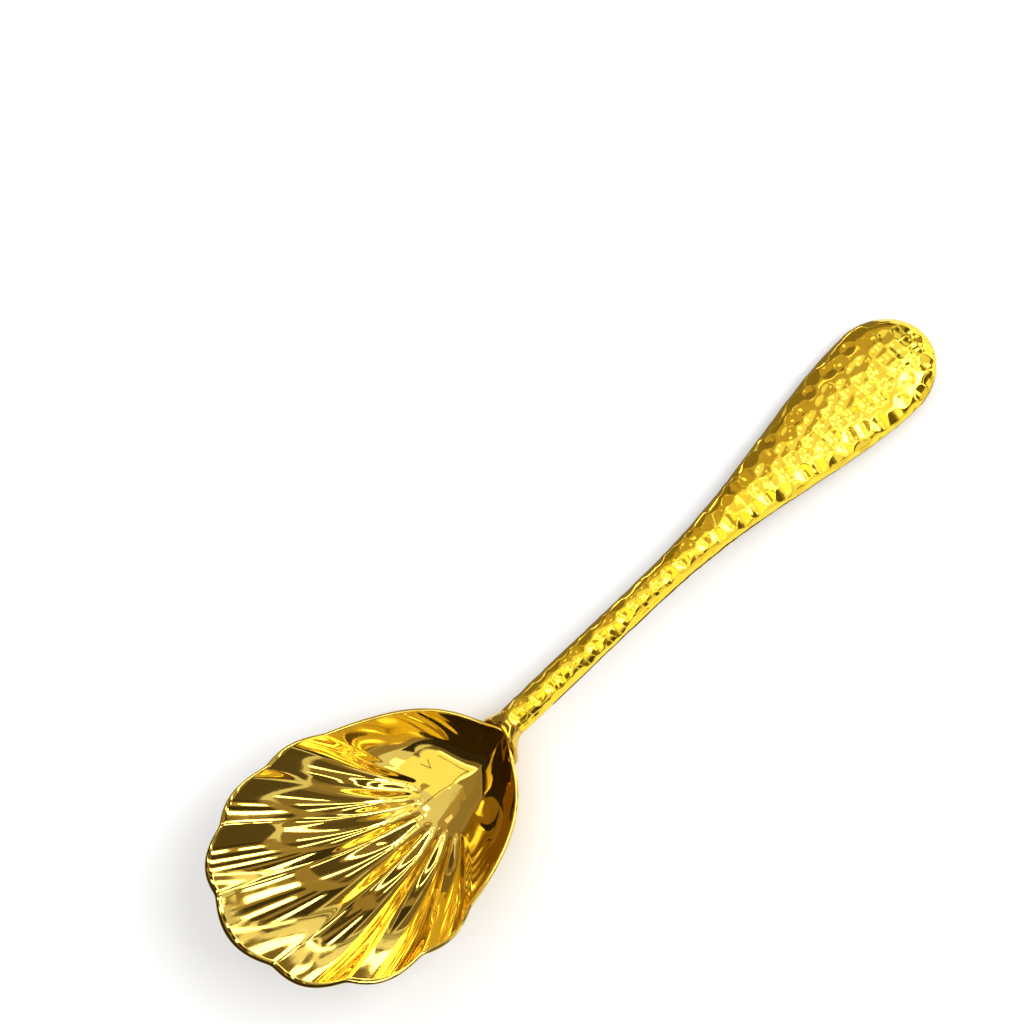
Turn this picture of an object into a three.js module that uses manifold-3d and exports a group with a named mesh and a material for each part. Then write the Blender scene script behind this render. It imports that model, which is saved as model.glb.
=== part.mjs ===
// Serving spoon: a pressed shell bowl on a hollow hammered handle, in millimetres, +Z up.
// It lies on the table, z = 0, with the bowl to -X and the handle to +X, alike on both sides of y = 0.
// Heights and lengths are first set from the neck, x = 0, and the finished spoon is centred at the end.
import * as THREE from "three";
import { mergeVertices } from "three/addons/utils/BufferGeometryUtils.js";
import Module from "manifold-3d";

const wasm = await Module();
wasm.setup();

// Bowl outline, through the cusps between the scallops
const BOWL_LENGTH = 73; // from the neck to the lip
const BOWL_WIDTH = 60;
const SHOULDER_FULLNESS = 0.53; // 0 is an ellipse, 1 a pointed drop
const SCALLOP = 1.7; // how far each lobe stands out past the cusps

// Bowl depth and sheet
const SHEET = 1.2;
const NECK_DEPTH = 8.8; // floor of the bowl to the rim at the neck
const LIP_RISE = 33.5; // rim at the neck to the rim at the lip
const RIM_CURVE = 1.31; // above 1 the rim sweeps up towards the lip
const WALL_CURVE = 2; // above 1 the wall is steepest at the rim
const SEAT_RADIUS = 4.5; // flat spot under the bowl, on which it rests

// Fan of ribs and flutes
const FOCUS_SETBACK = 20.5; // from the neck to the point where the rib lines meet
const SIDE_LOBES = 3; // on each side of the middle lobe
const MIDDLE_LOBE = THREE.MathUtils.degToRad(24);
const SIDE_LOBE = THREE.MathUtils.degToRad(18.8);
const SHOULDER_ARC = THREE.MathUtils.degToRad(95);
const RIB_START = 10.5; // from the focus to the ribs' inner tips
const RIB_RUN_IN = 7; // length over which a flute reaches its depth
const FLUTE_DEPTH = 1.5;
const RIB_ROUND_INNER = 0.7; // rounding of a rib's crest, as a share of the flute's rise
const RIB_ROUND_RIM = 0.14;

// Handle, from the neck to its round end
const HANDLE_LENGTH = 140;
const WAIST_LENGTH = 44; // nearly parallel stretch next to the neck
const WAIST_WIDTH = 7.8;
const WAIST_THICKNESS = 7.4;
const PADDLE_WIDTH = 26.1;
const PADDLE_THICKNESS = 9.2;
const END_LENGTH = 14.4; // from the widest place to the end
const SWELL_EASE = 1.3; // above 1 the handle swells later
const WALL = 0.9; // sheet of the two half shells
const AXIS_OVER_RIM = 1.4; // handle axis above the rim at the neck
const HANDLE_SEAT_CUT = 0.25; // flat worn under the paddle, on which it rests

// Joints
const NECK_JOINT = 3.6; // mouth of the handle
const COLLAR_BRAZE = 0.6;
const SEAM_WELD = 0.7;
const BOWL_BRAZE = 0.5;
const FACE_GAP = 0.05; // between flat faces that lie together
const FIT = 0.3; // around curved and hidden faces
const SADDLE_REACH = 7.6; // tongue under the bowl
const SADDLE_WIDTH = 14;
const SADDLE_FLARE = 7.5; // length over which the neck widens to the saddle
const SADDLE_DEPTH = 4; // below the bowl's wall at the neck
const TONGUE_DEPTH = 2; // below the bowl's wall at the tongue's tip
const TONGUE_SQUARENESS = 4; // 2 rounds the tongue like an ellipse
const SPIGOT_LENGTH = 9;
const TANG_LENGTH = 58;
const TANG_WIDTH = 3.6;
const TANG_THICKNESS = 2.6;

// Facets
const LOBE_STEPS = 8;
const SHOULDER_STEPS = 16;
const WALL_RINGS = 15;
const SECTION_STEPS = 24;
const WAIST_RINGS = 5;
const SWELL_RINGS = 12;
const END_RINGS = 6;
const SADDLE_RINGS = 10;

// Finishes
const POLISHED_GOLD = { color: 0xe0a828, roughness: 0.06, metalness: 1 };
const HAMMERED_GOLD = { color: 0xe3ae22, roughness: 0.14, metalness: 1 };
const BRAZE = { color: 0xcaa24a, roughness: 0.2, metalness: 1 };
const RESIN = { color: 0x8a7a5c, roughness: 0.7, metalness: 0 };

const WELD_POINTS = 1e-4; // points this close are one point

// Solids

function solidOf(geometry) {
  geometry.deleteAttribute("normal");
  geometry.deleteAttribute("uv");
  const merged = mergeVertices(geometry, WELD_POINTS);
  return new wasm.Manifold(
    new wasm.Mesh({
      numProp: 3,
      vertProperties: merged.attributes.position.array,
      triVerts: new Uint32Array(merged.index.array),
    }),
  );
}

function geometryOf(solid) {
  const mesh = solid.getMesh();
  const geometry = new THREE.BufferGeometry();
  geometry.setAttribute("position", new THREE.BufferAttribute(mesh.vertProperties, 3));
  geometry.setIndex(new THREE.BufferAttribute(mesh.triVerts, 1));
  return geometry;
}

// A closed skin through rings of equal length, with a point at each end.
// The rings turn anticlockwise seen from the end point.
function skin(startPoint, rings, endPoint) {
  const count = rings[0].length;
  const points = [startPoint, ...rings.flat(), endPoint];
  const last = points.length - 1;
  const index = [];
  const at = (ring, i) => 1 + ring * count + (i % count);
  for (let i = 0; i < count; i++) {
    index.push(0, at(0, i + 1), at(0, i));
    index.push(last, at(rings.length - 1, i), at(rings.length - 1, i + 1));
  }
  for (let ring = 0; ring + 1 < rings.length; ring++) {
    for (let i = 0; i < count; i++) {
      index.push(at(ring, i), at(ring, i + 1), at(ring + 1, i + 1));
      index.push(at(ring, i), at(ring + 1, i + 1), at(ring + 1, i));
    }
  }
  return new THREE.BufferGeometry().setFromPoints(points).setIndex(index);
}

function block(xLow, xHigh, yHalf, zLow, zHigh) {
  const box = new THREE.BoxGeometry(xHigh - xLow, 2 * yHalf, zHigh - zLow);
  return box.translate((xLow + xHigh) / 2, 0, (zLow + zHigh) / 2);
}

// Bowl: rays from the focus, each rising from the floor to the rim

const bowlFloor = SHEET;
const neckRim = bowlFloor + NECK_DEPTH;
const lastRib = MIDDLE_LOBE / 2 + SIDE_LOBES * SIDE_LOBE;
const ease = (t) => THREE.MathUtils.smoothstep(t, 0, 1);

// Half width of the outline at a share of the bowl's length from the neck.
function outlineHalfWidth(share) {
  const power = (1 + SHOULDER_FULLNESS) / 2;
  const widest = (1 + SHOULDER_FULLNESS) / (2 + SHOULDER_FULLNESS);
  const shape = (s) => s ** power * Math.sqrt(1 - s);
  return ((BOWL_WIDTH / 2) * shape(share)) / shape(widest);
}

// Distance from the focus to the outline, at an angle from the bowl's long axis.
function outlineReach(angle) {
  let inside = 0;
  let outside = BOWL_LENGTH;
  const HALVINGS = 40;
  for (let i = 0; i < HALVINGS; i++) {
    const reach = (inside + outside) / 2;
    const share = (FOCUS_SETBACK + reach * Math.cos(angle)) / BOWL_LENGTH;
    const within =
      share > 0 && share < 1 && Math.abs(reach * Math.sin(angle)) < outlineHalfWidth(share);
    if (within) inside = reach;
    else outside = reach;
  }
  return inside;
}

// Place across its lobe, from 0 at one rib to 1 at the next.
function lobePlace(angle) {
  const turn = Math.abs(angle);
  if (turn < MIDDLE_LOBE / 2) return 0.5 + turn / MIDDLE_LOBE;
  if (turn < lastRib) return ((turn - MIDDLE_LOBE / 2) / SIDE_LOBE) % 1;
  return Math.min(1, (turn - lastRib) / SHOULDER_ARC);
}

// Rise from a rib's crest, 0, to the middle of a flute, 1, with the crest rounded.
function fluteRise(angle, rounding) {
  const wave = Math.sin(Math.PI * lobePlace(angle));
  return (Math.hypot(wave, rounding) - rounding) / (Math.hypot(1, rounding) - rounding);
}

// A point inside the bowl, from the focus, 0, to the rim, 1. Flutes can be left out.
function bowlPoint(angle, share, fluted) {
  const cusp = outlineReach(angle);
  const reach = cusp + (fluted ? SCALLOP * fluteRise(angle, RIB_ROUND_RIM) : 0);
  const along = share * reach;
  const seat = SEAT_RADIUS / reach;
  const rimShare = (FOCUS_SETBACK + cusp * Math.cos(angle)) / BOWL_LENGTH;
  const rim = neckRim + LIP_RISE * Math.max(0, rimShare) ** RIM_CURVE;
  const climb = Math.max(0, (share - seat) / (1 - seat)) ** WALL_CURVE;
  let height = bowlFloor + (rim - bowlFloor) * climb;
  if (fluted) {
    const rounding = THREE.MathUtils.lerp(RIB_ROUND_INNER, RIB_ROUND_RIM, share);
    const runIn = ease((along - RIB_START) / RIB_RUN_IN) * (1 - share ** 2);
    height -= FLUTE_DEPTH * runIn * fluteRise(angle, rounding);
  }
  return new THREE.Vector3(
    -FOCUS_SETBACK - along * Math.cos(angle),
    -along * Math.sin(angle),
    height,
  );
}

// The plain wall's direction, into the bowl.
function bowlNormal(angle, share) {
  const STEP = 1e-3;
  const inner = bowlPoint(angle, share - STEP, false);
  const outward = bowlPoint(angle, share, false).sub(inner);
  const across = bowlPoint(angle + STEP, share, false).sub(bowlPoint(angle - STEP, share, false));
  return outward.cross(across).normalize();
}

function rayAngles() {
  const half = [];
  const stretch = (from, to, steps) => {
    for (let i = 0; i < steps; i++) half.push(THREE.MathUtils.lerp(from, to, i / steps));
  };
  stretch(0, MIDDLE_LOBE / 2, LOBE_STEPS / 2);
  for (let lobe = 0; lobe < SIDE_LOBES; lobe++) {
    const from = MIDDLE_LOBE / 2 + lobe * SIDE_LOBE;
    stretch(from, from + SIDE_LOBE, LOBE_STEPS);
  }
  stretch(lastRib, Math.PI, SHOULDER_STEPS);
  const other = half.slice(1).map((angle) => -angle);
  return [...half, Math.PI, ...other.reverse()];
}

const angles = rayAngles();

// Rings from the seat to the rim, moved out of the bowl by an offset.
function bowlRings(offset) {
  const rings = [];
  for (let ring = 0; ring <= WALL_RINGS; ring++) {
    rings.push(
      angles.map((angle) => {
        const seat = SEAT_RADIUS / outlineReach(angle);
        const share = THREE.MathUtils.lerp(seat, 1, ring / WALL_RINGS);
        const point = bowlPoint(angle, share, true);
        return point.addScaledVector(bowlNormal(angle, share), -offset);
      }),
    );
  }
  return rings;
}

const focusAt = (z) => new THREE.Vector3(-FOCUS_SETBACK, 0, z);

function bowlGeometry() {
  const outside = bowlRings(SHEET);
  const inside = bowlRings(0).reverse();
  return skin(focusAt(bowlFloor - SHEET), [...outside, ...inside], focusAt(bowlFloor));
}

// All the room that the bowl takes up, with the space over it.
function bowlRoom(offset) {
  const outside = bowlRings(offset);
  const sky = neckRim + LIP_RISE + BOWL_LENGTH;
  const top = outside.at(-1).map((point) => point.clone().setZ(sky));
  return solidOf(skin(focusAt(bowlFloor - offset), [...outside, top], focusAt(sky)));
}

// Handle: oval sections along a straight axis that falls towards the end

const paddleStart = HANDLE_LENGTH - END_LENGTH;
const neckAxis = neckRim + AXIS_OVER_RIM;
const paddleAxis = PADDLE_THICKNESS / 2 - HANDLE_SEAT_CUT;
const fall = (paddleAxis - neckAxis) / paddleStart;
const axisHeight = (x) => neckAxis + fall * x;

function section(x, halfWidth, halfThickness) {
  const ring = [];
  for (let i = 0; i < SECTION_STEPS; i++) {
    const turn = (2 * Math.PI * i) / SECTION_STEPS;
    const up = axisHeight(x) + halfThickness * Math.sin(turn);
    ring.push(new THREE.Vector3(x, halfWidth * Math.cos(turn), up));
  }
  return ring;
}

// The handle's body from a start, drawn in all round by an inset.
function handleGeometry(start, inset) {
  const rings = [];
  const swell = (x) => {
    const t = THREE.MathUtils.clamp((x - WAIST_LENGTH) / (paddleStart - WAIST_LENGTH), 0, 1);
    return ease(t ** SWELL_EASE);
  };
  const addSection = (x, shrink) => {
    const width = THREE.MathUtils.lerp(WAIST_WIDTH, PADDLE_WIDTH, swell(x)) / 2 - inset;
    const thickness = THREE.MathUtils.lerp(WAIST_THICKNESS, PADDLE_THICKNESS, swell(x)) / 2 - inset;
    rings.push(section(x, width * shrink, thickness * shrink));
  };
  for (let i = 0; i < WAIST_RINGS; i++) {
    addSection(THREE.MathUtils.lerp(start, WAIST_LENGTH, i / WAIST_RINGS), 1);
  }
  for (let i = 0; i < SWELL_RINGS; i++) {
    addSection(THREE.MathUtils.lerp(WAIST_LENGTH, paddleStart, i / SWELL_RINGS), 1);
  }
  const endLength = END_LENGTH - inset;
  for (let i = 0; i < END_RINGS; i++) {
    const turn = ((Math.PI / 2) * i) / END_RINGS;
    addSection(paddleStart + endLength * Math.sin(turn), Math.cos(turn));
  }
  const tip = paddleStart + endLength;
  const startPoint = new THREE.Vector3(start, 0, axisHeight(start));
  return skin(startPoint, rings, new THREE.Vector3(tip, 0, axisHeight(tip)));
}

// A slab along the handle's axis, from a start, between two heights over the axis.
function axisSlab(start, low, high) {
  const shape = new THREE.Shape();
  const stop = HANDLE_LENGTH + END_LENGTH;
  shape.moveTo(start, axisHeight(start) + low);
  shape.lineTo(stop, axisHeight(stop) + low);
  shape.lineTo(stop, axisHeight(stop) + high);
  shape.lineTo(start, axisHeight(start) + high);
  const slab = new THREE.ExtrudeGeometry(shape, { depth: 2 * PADDLE_WIDTH, bevelEnabled: false });
  return solidOf(slab.rotateX(Math.PI / 2).translate(0, PADDLE_WIDTH, 0));
}

const shellStart = NECK_JOINT + COLLAR_BRAZE;
const cavityStart = NECK_JOINT - COLLAR_BRAZE;
const cavity = solidOf(handleGeometry(cavityStart, WALL));

function handleTube(start, stop) {
  const body = solidOf(handleGeometry(start, 0)).subtract(cavity);
  const reach = solidOf(block(start, stop, PADDLE_WIDTH, 0, neckAxis + PADDLE_WIDTH));
  return body.intersect(reach);
}

const shells = handleTube(shellStart, HANDLE_LENGTH + END_LENGTH);
const seamHalf = SEAM_WELD / 2;
const far = PADDLE_WIDTH;
const topShell = shells.intersect(axisSlab(cavityStart, seamHalf, far));
const bottomShell = shells.intersect(axisSlab(cavityStart, -far, -seamHalf));
const seamWeld = shells.intersect(axisSlab(cavityStart, FACE_GAP - seamHalf, seamHalf - FACE_GAP));
const collarBraze = handleTube(NECK_JOINT, shellStart - FACE_GAP);

// Shank: a forked saddle under the neck of the bowl, a spigot in the handle's mouth and a tang

// Height of the bowl's outside, straight below its rim at the neck.
function heelHeight(x) {
  const share = Math.min(1, (FOCUS_SETBACK + x) / FOCUS_SETBACK);
  return bowlPoint(Math.PI, share, false).z - SHEET;
}

function saddleGeometry() {
  const { lerp } = THREE.MathUtils;
  const rings = [];
  const length = NECK_JOINT + SADDLE_REACH;
  for (let i = 0; i <= SADDLE_RINGS; i++) {
    const run = Math.sin(((Math.PI / 2) * i) / (SADDLE_RINGS + 1));
    const x = NECK_JOINT - length * run;
    const flare = ease((length * run) / SADDLE_FLARE);
    const rounding = Math.sqrt(1 - run ** TONGUE_SQUARENESS);
    const depth = lerp(SADDLE_DEPTH, TONGUE_DEPTH, run);
    const width = lerp(WAIST_WIDTH, SADDLE_WIDTH, flare) / 2;
    const thickness = lerp(WAIST_THICKNESS / 2, depth, flare);
    const lift = lerp(axisHeight(x), heelHeight(x), flare) - axisHeight(x);
    const ring = section(x, width * rounding, thickness);
    rings.push(ring.map((point) => point.setZ(point.z + lift)));
  }
  const start = new THREE.Vector3(NECK_JOINT, 0, axisHeight(NECK_JOINT));
  const tip = new THREE.Vector3(-SADDLE_REACH, 0, heelHeight(-SADDLE_REACH));
  return skin(tip, rings.reverse(), start);
}

function tangGeometry(grow) {
  const stop = TANG_LENGTH + grow;
  const shape = new THREE.Shape();
  const half = TANG_THICKNESS / 2 + grow;
  shape.moveTo(NECK_JOINT, axisHeight(NECK_JOINT) - half);
  shape.lineTo(stop, axisHeight(stop) - half);
  shape.lineTo(stop, axisHeight(stop) + half);
  shape.lineTo(NECK_JOINT, axisHeight(NECK_JOINT) + half);
  const width = TANG_WIDTH + 2 * grow;
  const bar = new THREE.ExtrudeGeometry(shape, { depth: width, bevelEnabled: false });
  return bar.rotateX(Math.PI / 2).translate(0, width / 2, 0);
}

const spigotStop = NECK_JOINT + SPIGOT_LENGTH;
const insideFit = WALL + FIT;
const spigot = solidOf(handleGeometry(cavityStart, insideFit)).intersect(
  solidOf(block(cavityStart, spigotStop, PADDLE_WIDTH, 0, neckAxis + PADDLE_WIDTH)),
);
const saddleBody = solidOf(saddleGeometry());
const brazeRoom = bowlRoom(SHEET + FIT);
const saddleRoom = bowlRoom(SHEET + FIT + BOWL_BRAZE);
const bowlBraze = saddleBody.subtract(brazeRoom).intersect(saddleRoom);
const shank = saddleBody
  .subtract(bowlRoom(SHEET + FIT + BOWL_BRAZE + FIT))
  .add(spigot)
  .add(solidOf(tangGeometry(0)));

// Resin that fills the handle round the tang

const resinStart = spigotStop + FIT;
const resin = solidOf(handleGeometry(resinStart, insideFit)).subtract(solidOf(tangGeometry(FIT)));

// Assembly

const spoon = new THREE.Group();

function addPiece(name, geometry, finish) {
  const piece = new THREE.Mesh(geometry, new THREE.MeshStandardMaterial(finish));
  piece.name = name;
  spoon.add(piece);
}

addPiece("bowl", bowlGeometry(), POLISHED_GOLD);
addPiece("shank", geometryOf(shank), POLISHED_GOLD);
addPiece("handle_top_shell", geometryOf(topShell), HAMMERED_GOLD);
addPiece("handle_bottom_shell", geometryOf(bottomShell), HAMMERED_GOLD);
addPiece("seam_weld", geometryOf(seamWeld), HAMMERED_GOLD);
addPiece("collar_braze", geometryOf(collarBraze), BRAZE);
addPiece("bowl_braze", geometryOf(bowlBraze), BRAZE);
addPiece("handle_resin", geometryOf(resin), RESIN);

const box = new THREE.Box3().setFromObject(spoon);
spoon.position.x = -(box.min.x + box.max.x) / 2;

export default spoon;
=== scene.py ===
import math
import random

import bpy
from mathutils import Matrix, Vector, kdtree


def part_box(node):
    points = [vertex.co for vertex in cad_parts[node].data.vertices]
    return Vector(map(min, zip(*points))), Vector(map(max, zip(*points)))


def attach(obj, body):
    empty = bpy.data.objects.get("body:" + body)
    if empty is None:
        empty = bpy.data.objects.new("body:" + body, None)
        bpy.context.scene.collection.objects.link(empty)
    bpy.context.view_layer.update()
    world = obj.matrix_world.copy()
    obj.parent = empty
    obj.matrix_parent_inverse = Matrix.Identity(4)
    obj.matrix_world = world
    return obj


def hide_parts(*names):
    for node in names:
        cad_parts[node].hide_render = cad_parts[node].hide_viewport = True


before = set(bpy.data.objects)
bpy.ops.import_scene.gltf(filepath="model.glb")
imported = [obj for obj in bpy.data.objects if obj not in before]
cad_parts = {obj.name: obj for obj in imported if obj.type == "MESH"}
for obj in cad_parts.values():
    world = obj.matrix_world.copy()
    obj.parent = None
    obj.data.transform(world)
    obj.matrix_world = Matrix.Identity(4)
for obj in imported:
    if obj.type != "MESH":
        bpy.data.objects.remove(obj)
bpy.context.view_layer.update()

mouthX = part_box("handle_top_shell")[0].x  # where the hammered handle begins
mouthToNeck = 0.0042
neckX = mouthX - mouthToNeck  # the rim's lowest point, at the neck
print("frame loaded, neck at", round(neckX, 5))


# small helpers

def smooth(t):
    t = min(1.0, max(0.0, t))
    return t * t * (3 - 2 * t)


def lerp(a, b, t):
    return a + (b - a) * t


def only(piece):
    if bpy.context.object and bpy.context.object.mode != "OBJECT":
        bpy.ops.object.mode_set(mode="OBJECT")
    bpy.ops.object.select_all(action="DESELECT")
    piece.select_set(True)
    bpy.context.view_layer.objects.active = piece


def wrapGrid(name, around, rows, spot):
    # a grid is bent round to the shape, then its seam and poles are merged
    bpy.ops.object.select_all(action="DESELECT")
    bpy.ops.mesh.primitive_grid_add(x_subdivisions=around, y_subdivisions=rows, size=1)
    piece = bpy.context.object
    piece.name = name
    for v in piece.data.vertices:
        v.co = spot(round((v.co.x + 0.5) * around), round((v.co.y + 0.5) * rows))
    bpy.ops.object.mode_set(mode="EDIT")
    bpy.ops.mesh.select_all(action="SELECT")
    bpy.ops.mesh.remove_doubles(threshold=0.000002)
    bpy.ops.mesh.normals_make_consistent(inside=False)
    bpy.ops.object.mode_set(mode="OBJECT")
    bpy.ops.object.shade_smooth()
    return piece


def twin(piece, name):
    other = piece.copy()
    other.data = piece.data.copy()
    other.name = name
    bpy.context.collection.objects.link(other)
    return other


def drop(piece):
    bpy.data.objects.remove(piece, do_unlink=True)


def cutWith(piece, tool, operation):
    only(piece)
    cut = piece.modifiers.new("cut", "BOOLEAN")
    cut.operation = operation
    cut.object = tool
    cut.solver = "EXACT"
    bpy.ops.object.modifier_apply(modifier="cut")


# camera

camera = dict(
    place=(0.05431, -0.17149, 0.56392),
    turn=(12.055, 17.701, -42.035),
    lens=84.375,
    sensor=36,
)
bpy.ops.object.select_all(action="DESELECT")
bpy.ops.object.camera_add(location=camera["place"], rotation=[math.radians(a) for a in camera["turn"]])
bpy.context.object.data.lens = camera["lens"]
bpy.context.object.data.sensor_width = camera["sensor"]
bpy.context.scene.camera = bpy.context.object
print("camera set")


# bowl: one pressed sheet, smooth basin, flutes out to a scalloped rim

bowl = dict(
    length=0.073,
    width=0.060,
    fullness=0.53,
    scallop=0.0017,
    scallopMean=0.6,
    sheet=0.0012,
    neckDepth=0.0088,
    lipRise=0.0335,
    rimCurve=1.31,
    wallCurve=2.0,
    neckCurve=2.6,
    seat=0.0045,
    basinSoft=0.010,
    focus=0.0205,
    sideLobes=3,
    middleLobe=math.radians(24),
    sideLobe=math.radians(18.8),
    shoulderArc=math.radians(95),
    noseStart=0.0088,
    noseRun=0.004,
    noseShare=0.4,
    ribStart=0.012,
    ribRunIn=0.008,
    shoulderRunIn=0.018,
    ribBow=0.08,
    fluteDepth=0.0018,
    innerRound=0.5,
    rimRound=0.13,
    lipBulge=0.0003,
    lipSheet=0.0009,
    lipThins=0.86,
    rays=480,
    innerRows=76,
    lipRows=6,
    outerRows=44,
    roomRows=24,
    roomOverRim=0.02,
    roomTop=0.06,
)
lastRib = bowl["middleLobe"] / 2 + bowl["sideLobes"] * bowl["sideLobe"]
neckRim = bowl["sheet"] + bowl["neckDepth"]


def halfWidth(share):
    full = bowl["fullness"]
    widest = (1 + full) / (2 + full)

    def shape(s):
        return s ** ((1 + full) / 2) * math.sqrt(1 - s)

    return bowl["width"] / 2 * shape(share) / shape(widest)


def cuspReach(angle):
    low, high = 0.0, bowl["length"]
    for _ in range(40):  # halved until it is exact
        reach = (low + high) / 2
        share = (bowl["focus"] + reach * math.cos(angle)) / bowl["length"]
        if 0 < share < 1 and abs(reach * math.sin(angle)) < halfWidth(share):
            low = reach
        else:
            high = reach
    return low


def lobePlace(angle):
    a = abs(angle)
    if a < bowl["middleLobe"] / 2:
        return 0.5 + a / bowl["middleLobe"]
    if a < lastRib:
        return (a - bowl["middleLobe"] / 2) / bowl["sideLobe"] % 1
    return min(1.0, (a - lastRib) / bowl["shoulderArc"])


def fluteRise(angle, rounding):
    wave = math.sin(math.pi * lobePlace(angle))
    return (math.hypot(wave, rounding) - rounding) / (math.hypot(1, rounding) - rounding)


def rayFacts(angle):
    cusp = cuspReach(angle)
    lift = max(0.0, (bowl["focus"] + cusp * math.cos(angle)) / bowl["length"])
    reach = cusp + bowl["scallop"] * fluteRise(angle, bowl["rimRound"])
    return angle, cusp, reach, neckRim + bowl["lipRise"] * lift ** bowl["rimCurve"]


def wallPoint(ray, share, fluted=True, inside=False):
    angle, cusp, reach, rim = ray
    plainReach = cusp + bowl["scallop"] * bowl["scallopMean"]
    if not fluted:
        reach = plainReach
    along = share * reach
    evenReach = lerp(plainReach, reach, share * share)  # the scallops leave the basin even
    rise = along / evenReach
    curve = lerp(bowl["wallCurve"], bowl["neckCurve"], smooth(-math.cos(angle)))
    if inside:  # the basin flattens out smoothly, the outside has its flat spot
        climb = rise ** curve * rise * rise / (rise * rise + bowl["basinSoft"]) * (1 + bowl["basinSoft"])
    else:
        seat = bowl["seat"] / evenReach
        climb = max(0.0, (rise - seat) / (1 - seat)) ** curve
    z = bowl["sheet"] + (rim - bowl["sheet"]) * climb
    if fluted:
        rounding = lerp(bowl["innerRound"], bowl["rimRound"], share)
        bowed = angle * (1 + bowl["ribBow"] * 4 * share * (1 - share))  # the ribs flare out to the rim
        if abs(bowed) > lastRib:  # the plain shoulders by the neck swell slowly
            runIn = smooth((along - bowl["noseStart"]) / bowl["shoulderRunIn"])
        else:
            nose = smooth((along - bowl["noseStart"]) / bowl["noseRun"])
            runIn = lerp(smooth((along - bowl["ribStart"]) / bowl["ribRunIn"]), nose, bowl["noseShare"])
        z -= bowl["fluteDepth"] * runIn * (1 - share * share) * fluteRise(bowed, rounding)
    return Vector((neckX - bowl["focus"] - along * math.cos(angle), -along * math.sin(angle), z))


bowlRays = [rayFacts(-math.pi + 2 * math.pi * i / bowl["rays"]) for i in range(bowl["rays"] + 1)]
bowlRays[-1] = (bowlRays[-1][0],) + bowlRays[0][1:]
rayStep, shareStep, flatShare = 0.004, 0.01, 0.06  # small steps for the wall's normal
nearRays = [(rayFacts(r[0] - rayStep), rayFacts(r[0] + rayStep)) for r in bowlRays]


def wallNormal(i, share):
    # the plain wall's own normal, pointing out and down
    s = min(max(share, 2 * shareStep), 1 - shareStep)
    outward = wallPoint(bowlRays[i], s + shareStep, False) - wallPoint(bowlRays[i], s - shareStep, False)
    across = wallPoint(nearRays[i][1], s, False) - wallPoint(nearRays[i][0], s, False)
    out = outward.cross(across).normalized()
    if out.z > 0:
        out = -out
    return Vector((0, 0, -1)).lerp(out, smooth(share / flatShare)).normalized()


def sheetAt(share):
    return lerp(bowl["sheet"], bowl["lipSheet"], smooth((share - bowl["lipThins"]) / (1 - bowl["lipThins"])))


def bowlSpot(i, j):
    i = i % bowl["rays"]
    inner, lip, outer = bowl["innerRows"], bowl["lipRows"], bowl["outerRows"]
    if j <= inner:
        return wallPoint(bowlRays[i], j / inner, inside=True)
    if j >= inner + lip:
        share = 1 - (j - inner - lip) / outer
        return wallPoint(bowlRays[i], share) + wallNormal(i, share) * sheetAt(share)
    out = wallNormal(i, 1)
    up = (wallPoint(bowlRays[i], 1) - wallPoint(bowlRays[i], 1 - 2 * shareStep)).normalized()
    turn = math.pi * (j - inner) / lip
    half = sheetAt(1) / 2
    middle = wallPoint(bowlRays[i], 1) + out * half
    return middle - out * math.cos(turn) * half + up * math.sin(turn) * bowl["lipBulge"]


bowlRows = bowl["innerRows"] + bowl["lipRows"] + bowl["outerRows"]
flutedBowl = wrapGrid("flutedBowl", bowl["rays"], bowlRows, bowlSpot)
print("bowl made,", len(flutedBowl.data.polygons), "faces")


def bowlRoom(name, gap):
    # the bowl's outside, grown by a gap and carried up, used to cut what hugs it
    rows = bowl["roomRows"]

    def spot(i, j):
        i = (i * 2) % bowl["rays"]
        if j <= rows:
            return wallPoint(bowlRays[i], j / rows, j > 1) + wallNormal(i, j / rows) * gap
        if j == rows + 1:
            return wallPoint(bowlRays[i], 1) + wallNormal(i, 1) * gap + Vector((0, 0, bowl["roomOverRim"]))
        return Vector((neckX - bowl["focus"], 0, bowl["roomTop"]))

    return wrapGrid(name, bowl["rays"] // 2, rows + 2, spot)


# handle: straight hollow bar, oval sections, hammered all over

handle = dict(
    length=0.140,
    waistLength=0.044,
    waistWidth=0.0078,
    waistThick=0.0074,
    endWidth=0.0261,
    endThick=0.0092,
    endLength=0.0144,
    swellEase=1.3,
    wall=0.0009,
    axisOverRim=0.0014,
    seatCut=0.00025,
    around=176,
    rows=400,
    endRows=44,
    seam=0.00035,
    seamGap=0.00001,
    edgeAngle=math.radians(50),
)
dents = dict(
    pitch=0.0041,
    rowPitch=0.88,
    jitter=0.22,
    bend=0.0078,
    bendSpread=(0.85, 1.2),
    depth=0.0003,
    depthSpread=0.00007,
    sideKeep=0.25,
    sideFrom=0.1,
    sideBand=0.45,
    tableGap=0.00001,
    crest=0.00006,
    start=-0.0010,
    fade=0.0008,
    seed=11,
)
paddleStart = handle["length"] - handle["endLength"]
neckAxis = neckRim + handle["axisOverRim"]
paddleAxis = handle["endThick"] / 2 - handle["seatCut"]
axisSlope = (paddleAxis - neckAxis) / paddleStart


def axisHeight(x):
    return neckAxis + axisSlope * x


def handleHalves(x):
    t = min(1.0, max(0.0, (x - handle["waistLength"]) / (paddleStart - handle["waistLength"])))
    swell = smooth(t ** handle["swellEase"])
    return (
        lerp(handle["waistWidth"], handle["endWidth"], swell) / 2,
        lerp(handle["waistThick"], handle["endThick"], swell) / 2,
    )


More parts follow.
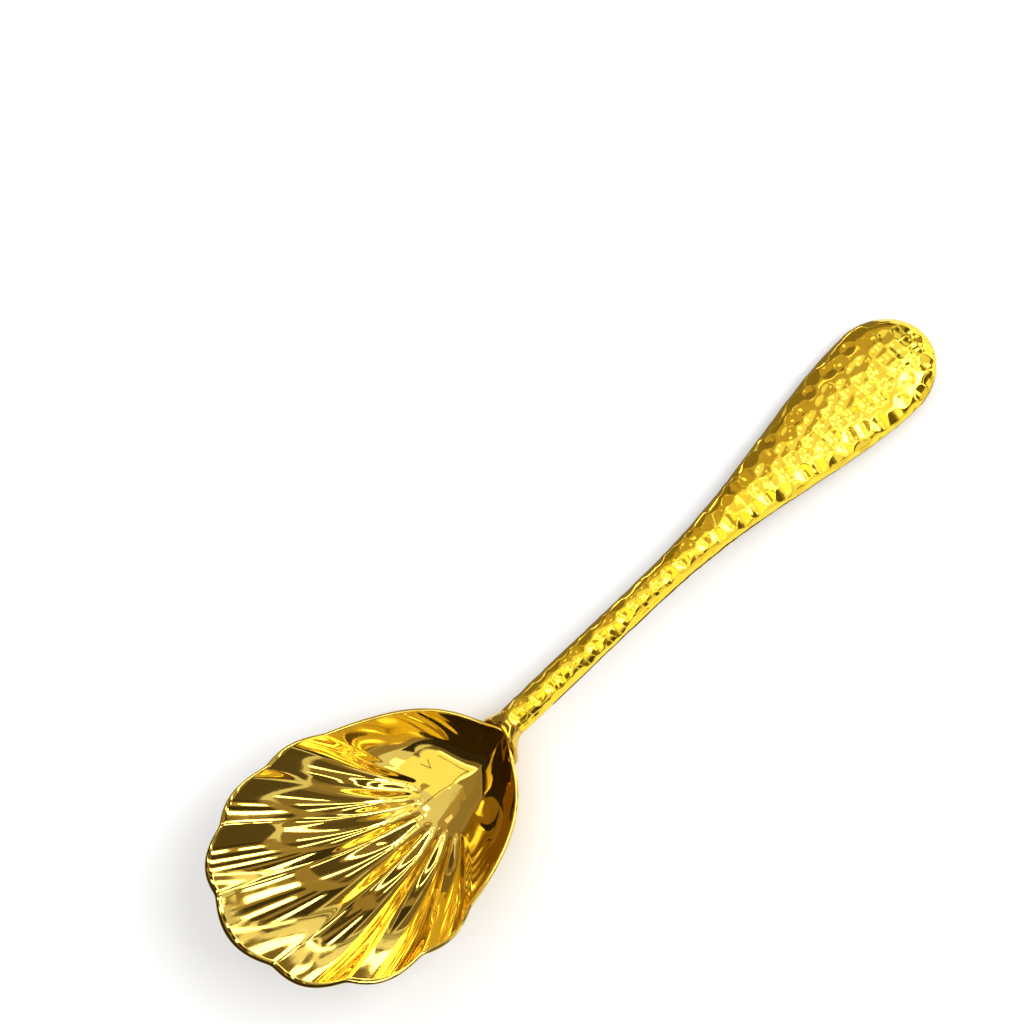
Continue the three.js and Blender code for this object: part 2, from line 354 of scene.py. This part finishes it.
def handlePoint(x, turn, endTurn=0.0):
    # x runs from the neck, turn goes round the section, endTurn rounds off the end
    halfW, halfT = handleHalves(min(x, paddleStart))
    if endTurn > 0:
        x = paddleStart + handle["endLength"] * math.sin(endTurn)
        halfW, halfT = halfW * math.cos(endTurn), halfT * math.cos(endTurn)
    return Vector((neckX + x, halfW * math.cos(turn), axisHeight(x) + halfT * math.sin(turn)))


def ovalLength(a, b):
    return math.pi * (3 * (a + b) - math.sqrt((3 * a + b) * (a + 3 * b)))


def hammerBlows():
    # one blow per place on staggered rows round the bar, each a little off its place
    draw = random.Random(dents["seed"])
    step = dents["pitch"] * dents["rowPitch"]
    stops = [(dents["start"] - dents["pitch"] + step * k, 0.0) for k in range(400)]
    stops = [stop for stop in stops if stop[0] < paddleStart]
    endSteps = round(math.pi / 2 * (handle["endLength"] + handle["endWidth"] / 2) / 2 / step)
    stops += [(paddleStart, math.pi / 2 * k / endSteps) for k in range(1, endSteps)]
    blows = []
    for x, endTurn in stops:
        halfW, halfT = handleHalves(x)
        count = max(3, round(ovalLength(halfW, halfT) * math.cos(endTurn) / dents["pitch"]))
        first = draw.random()
        for k in range(count):
            shift = draw.uniform(-1, 1) * dents["jitter"]
            place = (k + first + shift) / count * 2 * math.pi
            # equal steps along a flat oval, not equal angles
            place += 0.5 * (1 - halfT / halfW) * math.sin(2 * place)
            xShift = draw.uniform(-1, 1) * dents["jitter"] * step
            deeper = draw.uniform(-1, 1) * dents["depthSpread"]
            bend = dents["bend"] * draw.uniform(*dents["bendSpread"])
            spot = handlePoint(x + (xShift if endTurn == 0 else 0), place, endTurn)
            blows.append((spot, deeper, bend))
    blows.append((handlePoint(paddleStart, 0, math.pi / 2), 0.0, dents["bend"]))
    return blows


blows = hammerBlows()
blowTree = kdtree.KDTree(len(blows))
for k, blow in enumerate(blows):
    blowTree.insert(blow[0], k)
blowTree.balance()


def dentAt(point):
    # how far the hammered skin lies under the plain one: round dents, crests where they meet
    rises = sorted(
        blows[k][1] + far * far / (2 * blows[k][2]) for _, k, far in blowTree.find_n(point, 5)
    )
    soft = max(0.0, dents["crest"] - (rises[1] - rises[0]))
    rise = rises[0] - soft * soft / (4 * dents["crest"])
    return dents["depth"] - min(dents["depth"], rise)


def hammer(piece, fadeFrom):
    skin = [(v.index, v.co.copy(), v.normal.copy()) for v in piece.data.vertices]
    for index, place, normal in skin:
        sink = dentAt(place) * smooth((place.x - neckX - fadeFrom) / dents["fade"])
        facing = smooth((abs(normal.z) - dents["sideFrom"]) / dents["sideBand"])
        sink *= lerp(dents["sideKeep"], 1, facing)  # calm along the sides
        spot = place - normal * sink
        spot.z = max(spot.z, dents["tableGap"])
        piece.data.vertices[index].co = spot


def handleSpot(i, j):
    turn = 2 * math.pi * (i % handle["around"]) / handle["around"]
    straight = handle["rows"] - handle["endRows"]
    if j <= straight:
        return handlePoint(lerp(mouthX - neckX, paddleStart, j / straight), turn)
    return handlePoint(paddleStart, turn, math.pi / 2 * (j - straight) / handle["endRows"])


hammeredBar = wrapGrid("hammeredBar", handle["around"], handle["rows"], handleSpot)
hammer(hammeredBar, mouthX - neckX - dents["fade"])


def slicedBar(name, low, high):
    # keeps what lies between two planes along the bar's axis, then gives it its wall
    piece = twin(hammeredBar, name)
    only(piece)
    bpy.ops.object.mode_set(mode="EDIT")
    for edge, side in ((low, -1), (high, 1)):
        if edge is None:
            continue
        bpy.ops.mesh.select_all(action="SELECT")
        bpy.ops.mesh.bisect(
            plane_co=(neckX, 0, neckAxis + edge), plane_no=(-axisSlope * side, 0, side), clear_outer=True,
        )
    bpy.ops.mesh.select_all(action="SELECT")
    bpy.ops.mesh.delete_loose()
    bpy.ops.object.mode_set(mode="OBJECT")
    wall = piece.modifiers.new("wall", "SOLIDIFY")
    wall.thickness = handle["wall"]
    wall.offset = -1
    bpy.ops.object.modifier_apply(modifier="wall")
    bpy.ops.object.shade_smooth_by_angle(angle=handle["edgeAngle"])
    return piece


topShell = slicedBar("topShell", handle["seam"] + handle["seamGap"], None)
bottomShell = slicedBar("bottomShell", None, -handle["seam"] - handle["seamGap"])
seamWeld = slicedBar("seamWeld", -handle["seam"], handle["seam"])
drop(hammeredBar)
print("hammered shells made,", len(blows), "blows,", len(topShell.data.polygons), "faces in the top")


# neck: the forked shank that holds the bowl from below

neck = dict(
    joint=0.0036,
    reach=0.0076,
    width=0.014,
    flare=0.0075,
    depth=0.004,
    tongue=0.002,
    squareness=4,
    around=128,
    rows=110,
    bowlGap=0.00002,
    filletGrow=0.00035,
    filletDeep=0.0006,
    edgeAngle=math.radians(35),
)


def heelHeight(x):
    share = min(1.0, max(0.0, (bowl["focus"] + x) / bowl["focus"]))
    return wallPoint(rayFacts(math.pi), share, False).z - bowl["sheet"]


def neckSpot(grow):
    run = neck["joint"] + neck["reach"]

    def spot(i, j):
        if j == 0:
            return Vector((neckX + neck["joint"], 0, axisHeight(neck["joint"])))
        # rows crowd towards the tongue's tip
        t = math.sin(math.pi / 2 * (j - 1) / (neck["rows"] - 1))
        x = neck["joint"] - run * t
        flare = smooth(run * t / neck["flare"])
        end = math.sqrt(max(0.0, 1 - t ** neck["squareness"]))
        halfW = lerp(handle["waistWidth"], neck["width"], flare) / 2 * end
        halfT = lerp(handle["waistThick"] / 2, lerp(neck["depth"], neck["tongue"], t), flare)
        middle = lerp(axisHeight(x), heelHeight(x), flare)
        turn = 2 * math.pi * (i % neck["around"]) / neck["around"]
        if end > 0:
            halfW += grow
        return Vector((neckX + x, halfW * math.cos(turn), middle + (halfT + grow) * math.sin(turn) * (end > 0)))

    return spot


forkedNeck = wrapGrid("forkedNeck", neck["around"], neck["rows"], neckSpot(0.0))
closeRoom = bowlRoom("closeRoom", bowl["sheet"] + neck["bowlGap"])
cutWith(forkedNeck, closeRoom, "DIFFERENCE")
only(forkedNeck)
bpy.ops.object.shade_smooth_by_angle(angle=neck["edgeAngle"])

brazeFillet = wrapGrid("brazeFillet", neck["around"], neck["rows"], neckSpot(neck["filletGrow"]))
deepRoom = bowlRoom("deepRoom", bowl["sheet"] + neck["filletDeep"])
cutWith(brazeFillet, deepRoom, "INTERSECT")
cutWith(brazeFillet, closeRoom, "DIFFERENCE")
only(brazeFillet)
bpy.ops.object.shade_smooth_by_angle(angle=neck["edgeAngle"])
drop(closeRoom)
drop(deepRoom)
hammer(forkedNeck, dents["start"])
print("neck made,", len(forkedNeck.data.polygons), "faces")


# collar: the fine bead of braze at the mouth of the handle

collar = dict(bead=0.00042, sunk=0.00048, around=128, rows=16)


def collarSpot(i, j):
    x = (neck["joint"] + mouthX - neckX) / 2
    turn = 2 * math.pi * (i % collar["around"]) / collar["around"]
    roll = 2 * math.pi * (j % collar["rows"]) / collar["rows"]
    skin = handlePoint(x, turn)
    out = Vector((0, math.cos(turn), math.sin(turn)))
    middle = skin - out * collar["sunk"]
    return middle + out * math.cos(roll) * collar["bead"] + Vector((math.sin(roll) * collar["bead"], 0, 0))


collarBead = wrapGrid("collarBead", collar["around"], collar["rows"], collarSpot)
print("collar made")


# materials

def addNode(tree, kind, place, **settings):
    node = tree.nodes.new(kind)
    node.location = place
    for key, value in settings.items():
        if key in node.bl_rna.properties:
            setattr(node, key, value)
        else:
            node.inputs[key].default_value = value
    return node


def goldFinishGroup():
    # slow drift in tone, small polish marks, both on object coordinates
    group = bpy.data.node_groups.new("goldFinish", "ShaderNodeTree")
    socket = group.interface.new_socket
    socket("Light Tone", in_out="INPUT", socket_type="NodeSocketColor")
    socket("Deep Tone", in_out="INPUT", socket_type="NodeSocketColor")
    socket("Smooth", in_out="INPUT", socket_type="NodeSocketFloat")
    socket("Dull", in_out="INPUT", socket_type="NodeSocketFloat")
    socket("Mark Size", in_out="INPUT", socket_type="NodeSocketFloat")
    socket("Tone", in_out="OUTPUT", socket_type="NodeSocketColor")
    socket("Roughness", in_out="OUTPUT", socket_type="NodeSocketFloat")
    socket("Marks", in_out="OUTPUT", socket_type="NodeSocketFloat")
    inner = addNode(group, "NodeGroupInput", (-900, 0))
    outer = addNode(group, "NodeGroupOutput", (600, 0))
    place = addNode(group, "ShaderNodeTexCoord", (-900, 300))
    drift = addNode(group, "ShaderNodeTexNoise", (-600, 300), Scale=70.0, Detail=2.0)
    haze = addNode(group, "ShaderNodeTexNoise", (-600, 60), Scale=260.0, Detail=4.0)
    marks = addNode(group, "ShaderNodeTexNoise", (-600, -200), Detail=3.0)
    group.links.new(place.outputs["Object"], drift.inputs["Vector"])
    group.links.new(place.outputs["Object"], haze.inputs["Vector"])
    group.links.new(place.outputs["Object"], marks.inputs["Vector"])
    group.links.new(inner.outputs["Mark Size"], marks.inputs["Scale"])
    spread = addNode(group, "ShaderNodeMapRange", (-300, 300))
    spread.inputs["From Min"].default_value = 0.32
    spread.inputs["From Max"].default_value = 0.68
    group.links.new(drift.outputs["Fac"], spread.inputs["Value"])
    # a mix node's colour sockets share their names with others, so they go by number
    tone = addNode(group, "ShaderNodeMix", (0, 300), data_type="RGBA")
    group.links.new(spread.outputs["Result"], tone.inputs["Factor"])
    group.links.new(inner.outputs["Light Tone"], tone.inputs[6])
    group.links.new(inner.outputs["Deep Tone"], tone.inputs[7])
    rough = addNode(group, "ShaderNodeMapRange", (0, 0))
    rough.inputs["From Min"].default_value = 0.35
    rough.inputs["From Max"].default_value = 0.7
    group.links.new(haze.outputs["Fac"], rough.inputs["Value"])
    group.links.new(inner.outputs["Smooth"], rough.inputs["To Min"])
    group.links.new(inner.outputs["Dull"], rough.inputs["To Max"])
    group.links.new(tone.outputs[2], outer.inputs["Tone"])
    group.links.new(rough.outputs["Result"], outer.inputs["Roughness"])
    group.links.new(marks.outputs["Fac"], outer.inputs["Marks"])
    return group


goldFinish = goldFinishGroup()


def goldMaterial(name, look):
    material = bpy.data.materials.new(name)
    material.use_nodes = True
    tree = material.node_tree
    shader = tree.nodes["Principled BSDF"]
    shader.inputs["Metallic"].default_value = 1.0
    finish = addNode(tree, "ShaderNodeGroup", (-600, 200))
    finish.node_tree = goldFinish
    finish.inputs["Light Tone"].default_value = (*look["light"], 1)
    finish.inputs["Deep Tone"].default_value = (*look["deep"], 1)
    finish.inputs["Smooth"].default_value = look["smooth"]
    finish.inputs["Dull"].default_value = look["dull"]
    finish.inputs["Mark Size"].default_value = look["markSize"]
    bump = addNode(
        tree, "ShaderNodeBump", (-250, -150), Strength=look["markStrength"], Distance=look["markDepth"],
    )
    tree.links.new(finish.outputs["Tone"], shader.inputs["Base Color"])
    tree.links.new(finish.outputs["Roughness"], shader.inputs["Roughness"])
    tree.links.new(finish.outputs["Marks"], bump.inputs["Height"])
    tree.links.new(bump.outputs["Normal"], shader.inputs["Normal"])
    return material


# the bowl's and neck's gold is the handle's gold made deeper and browner: painted shade for their darker
# reflections, not a different metal
shadedPolishedGold = goldMaterial("shadedPolishedGold", dict(
    light=(0.78, 0.565, 0.112), deep=(0.73, 0.505, 0.088), smooth=0.03, dull=0.07,
    markSize=900.0, markStrength=0.04, markDepth=0.00005,
))
hammeredGold = goldMaterial("hammeredGold", dict(
    light=(0.96, 0.70, 0.06), deep=(0.92, 0.62, 0.035), smooth=0.06, dull=0.13,
    markSize=1400.0, markStrength=0.08, markDepth=0.00005,
))
brazeGold = goldMaterial("brazeGold", dict(
    light=(0.88, 0.63, 0.12), deep=(0.78, 0.5, 0.07), smooth=0.12, dull=0.24,
    markSize=1800.0, markStrength=0.15, markDepth=0.00005,
))


def resinMaterial():
    material = bpy.data.materials.new("fillingResin")
    material.use_nodes = True
    tree = material.node_tree
    shader = tree.nodes["Principled BSDF"]
    shader.inputs["Roughness"].default_value = 0.6
    place = addNode(tree, "ShaderNodeTexCoord", (-800, 100))
    cloud = addNode(tree, "ShaderNodeTexNoise", (-600, 100), Scale=220.0, Detail=5.0)
    ramp = addNode(tree, "ShaderNodeValToRGB", (-350, 100))
    ramp.color_ramp.elements[0].color = (0.34, 0.28, 0.18, 1)
    ramp.color_ramp.elements[1].color = (0.5, 0.42, 0.3, 1)
    tree.links.new(place.outputs["Object"], cloud.inputs["Vector"])
    tree.links.new(cloud.outputs["Fac"], ramp.inputs["Fac"])
    tree.links.new(ramp.outputs["Color"], shader.inputs["Base Color"])
    return material


fillingResin = resinMaterial()
print("materials made")


# every piece rides on the one body and stands for its node

outfit = (
    (flutedBowl, "bowl", "polished_gold", shadedPolishedGold),
    (forkedNeck, "shank", "polished_gold", shadedPolishedGold),
    (topShell, "handle_top_shell", "hammered_gold", hammeredGold),
    (bottomShell, "handle_bottom_shell", "hammered_gold", hammeredGold),
    (seamWeld, "seam_weld", "hammered_gold", hammeredGold),
    (collarBead, "collar_braze", "braze", brazeGold),
    (brazeFillet, "bowl_braze", "braze", brazeGold),
)
for piece, node, slot, material in outfit:
    piece.data.materials.clear()
    piece.data.materials.append(material)
    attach(piece, "root")
    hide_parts(node)
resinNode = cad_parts["handle_resin"]
for resinSlot in resinNode.material_slots:
    resinSlot.material = fillingResin
print("pieces placed")


# studio: pale floor, white surroundings, one soft lamp, boards for the metal to mirror

studio = dict(
    floorSize=6.0,
    floorDrop=0.0002,
    floorTone=(0.9, 0.9, 0.9),
    floorRough=0.9,
    fillLight=0.95,
)
keyLamp = dict(place=(0.5, -0.45, 0.9), aim=(0, 0, 0), size=(0.5, 0.4), power=6)
bpy.ops.object.select_all(action="DESELECT")
bpy.ops.mesh.primitive_plane_add(size=studio["floorSize"], location=(0, 0, -studio["floorDrop"]))
floor = bpy.context.object
floor.name = "studioFloor"
floorPaint = bpy.data.materials.new("floorPaint")
floorPaint.use_nodes = True
floorShader = floorPaint.node_tree.nodes["Principled BSDF"]
floorShader.inputs["Base Color"].default_value = (*studio["floorTone"], 1)
floorShader.inputs["Roughness"].default_value = studio["floorRough"]
floor.data.materials.append(floorPaint)

world = bpy.data.worlds.new("studioWorld")
bpy.context.scene.world = world
world.use_nodes = True
tree = world.node_tree
tree.nodes.clear()
rays = addNode(tree, "ShaderNodeLightPath", (-800, 200))
seen = addNode(tree, "ShaderNodeMath", (-600, 200), operation="MAXIMUM")
seenAll = addNode(tree, "ShaderNodeMath", (-400, 200), operation="MAXIMUM")
white = addNode(tree, "ShaderNodeBackground", (-200, 100), Color=(1, 1, 1, 1), Strength=1.0)
fill = addNode(tree, "ShaderNodeBackground", (-200, -50), Color=(1, 1, 1, 1), Strength=studio["fillLight"])
pick = addNode(tree, "ShaderNodeMixShader", (50, 100))
sky = addNode(tree, "ShaderNodeOutputWorld", (250, 100))
tree.links.new(rays.outputs["Is Camera Ray"], seen.inputs[0])
tree.links.new(rays.outputs["Is Glossy Ray"], seen.inputs[1])
tree.links.new(seen.outputs[0], seenAll.inputs[0])
tree.links.new(rays.outputs["Is Transmission Ray"], seenAll.inputs[1])
tree.links.new(seenAll.outputs[0], pick.inputs["Fac"])
tree.links.new(fill.outputs[0], pick.inputs[1])
tree.links.new(white.outputs[0], pick.inputs[2])
tree.links.new(pick.outputs[0], sky.inputs["Surface"])


def softLamp(name, place, aim, size, power):
    bpy.ops.object.select_all(action="DESELECT")
    bpy.ops.object.light_add(type="AREA", location=place)
    lamp = bpy.context.object
    lamp.name = name
    lamp.data.shape = "RECTANGLE"
    lamp.data.size, lamp.data.size_y = size
    lamp.data.energy = power
    lamp.rotation_euler = (Vector(aim) - Vector(place)).to_track_quat("-Z", "Y").to_euler()


softLamp("keyLamp", **keyLamp)


def mirrorBoard(name, corners, glow, tint):
    # a board that only the metal's mirror sees
    bpy.ops.object.select_all(action="DESELECT")
    bpy.ops.mesh.primitive_plane_add(size=1)
    board = bpy.context.object
    board.name = name
    for v, corner in zip(board.data.vertices, corners):
        v.co = corner
    paint = bpy.data.materials.new(name + "Paint")
    paint.use_nodes = True
    shader = paint.node_tree.nodes["Principled BSDF"]
    shader.inputs["Base Color"].default_value = (0, 0, 0, 1)
    shader.inputs["Specular IOR Level"].default_value = 0.0
    shader.inputs["Emission Color"].default_value = (*tint, 1)
    shader.inputs["Emission Strength"].default_value = glow
    board.data.materials.append(paint)
    board.visible_camera = False
    board.visible_diffuse = False
    board.visible_shadow = False


def standing(far, azimuths, heights):
    # corners of an upright board, by its angles seen from the spoon
    lowHigh = [far * math.tan(math.radians(h)) for h in heights]
    return [
        (far * math.cos(math.radians(a)), far * math.sin(math.radians(a)), z) for z in lowHigh for a in azimuths
    ]


def upright(start, stop, zs):
    return [(x, y, z) for z in zs for x, y in (start, stop)]


def lying(z, xs, ys):
    return [(x, y, z) for y in ys for x in xs]


def slanted(z, left, right):
    # a lying board whose two ends, each an x and a pair of ys, differ in width
    return [(end[0], end[side], z) for side in (1, 2) for end in (left, right)]


def lettered(stem, glow, tint, places):
    return [(stem + letter, corners, glow, tint) for letter, corners in zip("ABCDEF", places)]


warm = (1.0, 0.78, 0.5)
clear = (1.0, 1.0, 1.0)
roofZ, frameZ, paneZ, lampZ, bulbZ = 1.0, 0.99, 0.985, 0.98, 0.975
flagZ, tableZ, tableLampZ = 0.052, 0.0003, 0.0004
wallFar, backFar, tallFar, slitFar, lowFar, slatFar = 1.3, 1.2, 0.9, 0.88, 0.45, 0.44
endCardX, tableEnd = 0.122, 0.7
lampGlow, slitGlow, tableLampGlow, bulbGlow = 6.5, 7.0, 6.0, 8.0
bulbHalf = 0.04

lampSpots = (
    ((0.32, 0.46), (-0.22, -0.08)), ((0.09, 0.24), (-0.70, -0.55)), ((0.66, 0.96), (-0.58, -0.28)),
    ((0.36, 0.54), (-1.10, -0.92)), ((0.9, 1.2), (-0.15, 0.15)), ((0.60, 0.80), (-0.10, 0.12)),
)
tableLampSpots = (
    ((0.15, 0.175), (-0.06, 0.02)), ((0.24, 0.30), (-0.16, -0.03)), ((0.22, 0.28), (0.03, 0.20)),
    ((0.00, 0.05), (0.075, 0.105)), ((0.09, 0.12), (0.06, 0.10)),
)
# azimuths and heights of the bright slits between the tall boards
slits = (((-53, -49), (14, 40)), ((-31, -27), (18, 44)), ((-9, -5), (14, 38)), ((10.5, 14.5), (20, 44)))
# strips on the table past the handle: letter, where each begins, its sides and its glow
tableStrips = (
    ("A", 0.13, (-0.150, -0.125), 0.16), ("B", 0.13, (-0.100, -0.075), 0.30),
    ("C", 0.13, (-0.062, -0.045), 0.16), ("D", 0.13, (-0.020, 0.000), 0.12),
    ("E", 0.13, (0.025, 0.045), 0.16), ("F", 0.13, (0.070, 0.095), 0.30),
    ("G", 0.13, (0.120, 0.160), 0.16), ("H", 0.03, (0.185, 0.215), 0.10),
    ("I", 0.0, (0.24, 0.30), 0.30), ("J", 0.03, (0.33, 0.38), 0.08),
)
# narrow slats in the east, streaks for the flutes: azimuths, heights and glow
slats = (
    ((-38, -33), (-0.5, 13), 0.07), ((-31, -26), (-0.5, 7), 9.0), ((-29, -25), (9, 13), 9.0),
    ((-23, -15), (-0.5, 13), 0.06), ((-20, -18.5), (1, 9), 9.0), ((-13, -8), (2, 13), 9.0),
    ((-5, 0.5), (-0.5, 13), 0.06), ((-3, -1.5), (4, 12), 9.0), ((3, 7.5), (-0.5, 9), 9.0),
    ((9, 14), (-0.5, 13), 0.07), ((24, 28), (-0.5, 10), 8.0),
)
# small bare lamps overhead, bright cells for the dents
bulbs = (
    (0.13, -0.27), (0.13, -0.05), (0.15, 0.15), (0.30, 0.10), (0.33, -0.38), (0.45, 0.16), (0.50, -0.40),
    (0.62, -0.25), (0.16, -0.90), (0.48, -0.72), (0.75, 0.25), (0.44, 0.32), (0.02, -0.42),
)

boards = (
    # overhead: roof panels, a window with its frame and panes, lamps and shades
    ("roofNorth", slanted(roofZ, (-0.30, 0.29, 3.0), (2.5, 1.25, 3.0)), 0.56, warm),
    ("roofNorthWest", lying(roofZ, (-3.0, -0.30), (0.15, 3.0)), 0.42, warm),
    ("roofWest", lying(roofZ, (-3.0, -0.78), (-1.3, 0.15)), 0.24, warm),
    ("roofWindow", lying(0.999, (-0.74, -0.05), (-1.25, 0.12)), 1.45, (1.0, 0.98, 0.6)),
    ("frameWest", lying(frameZ, (-0.80, -0.74), (-1.0, 0.16)), 3.0, clear),
    ("frameNorth", lying(frameZ, (-0.76, -0.28), (0.12, 0.17)), 3.0, clear),
    ("paneWest", lying(paneZ, (-0.61, -0.585), (-0.85, 0.05)), 0.25, warm),
    ("paneNorth", lying(paneZ, (-0.61, 0.12), (0.05, 0.075)), 0.25, warm),
    *lettered("lamp", lampGlow, clear, [lying(lampZ, xs, ys) for xs, ys in lampSpots]),
    ("lampLow", lying(lampZ, (-0.5, -0.2), (-1.6, -1.2)), 2.6, clear),
    ("lampNorth", lying(lampZ, (0.2, 0.4), (0.9, 1.1)), 1.6, clear),
    ("lampNorthEnd", lying(lampZ, (-0.1, 0.05), (0.5, 0.62)), 1.3, clear),
    ("shadeNorth", lying(lampZ, (0.0, 0.6), (1.5, 2.2)), 0.15, warm),
    ("shadeSouth", lying(0.97, (-0.2, 0.0), (-0.5, -0.2)), 0.55, warm),
    # flags close over the rim of the bowl
    ("flagLip", lying(0.047, (-0.20, -0.087), (-0.06, 0.08)), 0.04, warm),
    ("flagRight", lying(flagZ, (-0.058, -0.02), (-0.06, -0.024)), 0.16, warm),
    ("flagLeft", lying(flagZ, (-0.085, -0.03), (0.030, 0.06)), 0.38, warm),
    # round the table
    ("westWall", standing(wallFar, (145, 215), (-1, 38)), 0.18, warm),
    ("northWall", standing(wallFar, (40, 140), (-1, 20)), 0.25, warm),
    ("southLow", standing(lowFar, (-165, -95), (0, 14)), 0.06, warm),
    ("southMid", standing(lowFar, (-165, -92), (14, 20)), 0.40, warm),
    *lettered("eastBack", 0.31, warm, [
        standing(backFar, azimuths, (13, 37)) for azimuths in ((-88, -46), (-46, -5), (-5, 36))
    ]),
    ("eastLowA", standing(lowFar, (-92, -36), (0, 13)), 0.12, warm),
    ("eastSkirt", standing(0.62, (-40, 40), (-1, 14)), 0.42, warm),
    ("eastLowB", standing(lowFar, (18, 40), (0, 13)), 0.06, warm),
    ("eastTallA", standing(tallFar, (-78, -56), (14, 48)), 0.13, warm),
    ("eastTallB", standing(tallFar, (-46, -34), (16, 44)), 0.30, warm),
    ("eastTallC", standing(tallFar, (-24, -12), (15, 46)), 0.11, warm),
    ("eastTallD", standing(tallFar, (0, 9), (17, 50)), 0.14, warm),
    ("eastTallE", standing(tallFar, (17, 28), (15, 44)), 0.12, warm),
    *lettered("eastSlit", slitGlow, clear, [standing(slitFar, *slit) for slit in slits]),
    # on the table
    *[
        ("tableFar" + letter, lying(tableZ, (begin, tableEnd), sides), glow, warm)
        for letter, begin, sides, glow in tableStrips
    ],
    ("tableWestA", lying(tableZ, (-0.36, -0.23), (-0.30, 0.30)), 0.10, warm),
    ("tableWestB", lying(tableZ, (-0.19, -0.165), (-0.16, 0.16)), 0.35, warm),
    ("tableNorthA", lying(tableZ, (-0.22, -0.04), (0.17, 0.30)), 0.10, warm),
    ("tableNorthB", lying(tableZ, (-0.14, -0.045), (0.10, 0.125)), 0.35, warm),
    ("tableSouthA", lying(tableZ, (-0.22, -0.04), (-0.30, -0.17)), 0.10, warm),
    ("tableSouthB", lying(tableZ, (-0.14, -0.045), (-0.125, -0.10)), 0.35, warm),
    ("underLipA", lying(tableZ, (-0.103, -0.094), (-0.07, 0.07)), 0.34, warm),
    ("underLipB", lying(tableZ, (-0.126, -0.113), (-0.09, 0.09)), 0.50, warm),
    ("underLipC", lying(tableZ, (-0.150, -0.138), (-0.12, 0.12)), 0.26, warm),
    ("underNorthA", lying(tableZ, (-0.092, -0.036), (0.029, 0.034)), 0.34, warm),
    ("underNorthB", lying(tableZ, (-0.10, -0.034), (0.047, 0.057)), 0.46, warm),
    ("underSouthA", lying(tableZ, (-0.092, -0.036), (-0.034, -0.029)), 0.34, warm),
    ("underSouthB", lying(tableZ, (-0.10, -0.034), (-0.057, -0.047)), 0.46, warm),
    *lettered("tableLamp", tableLampGlow, clear, [lying(tableLampZ, xs, ys) for xs, ys in tableLampSpots]),
    # close to the handle: a dark strip below it, painted shade for the shadowed table that its lower sides
    # mirror, and bright cards beside it and past its end
    ("underHandleShade", slanted(tableLampZ, (-0.02, -0.009, 0.009), (0.104, -0.0165, 0.0165)), 0.1, warm),
    ("sideCard", upright((0.01, -0.05), (0.125, -0.05), (0.007, 0.02)), 0.95, (1.0, 0.98, 0.85)),
    ("endCardLow", upright((endCardX, -0.035), (endCardX, 0.02), (0.004, 0.009)), 1.3, clear),
    ("endCardHigh", upright((endCardX, -0.035), (endCardX, 0.02), (0.015, 0.022)), 0.9, clear),
    ("tableLeft", slanted(tableZ, (-0.03, 0.008, 0.11), (0.125, 0.018, 0.11)), 0.26, warm),
)
for board in boards:
    mirrorBoard(*board)
for number, (azimuths, heights, glow) in enumerate(slats):
    tint = warm if glow < 1 else clear
    mirrorBoard("eastSlat%d" % number, standing(slatFar, azimuths, heights), glow, tint)
for number, (x, y) in enumerate(bulbs):
    spread = lying(bulbZ, (x - bulbHalf, x + bulbHalf), (y - bulbHalf, y + bulbHalf))
    mirrorBoard("bulb%d" % number, spread, bulbGlow, clear)
print("studio set")

bpy.context.scene.view_settings.view_transform = "Standard"
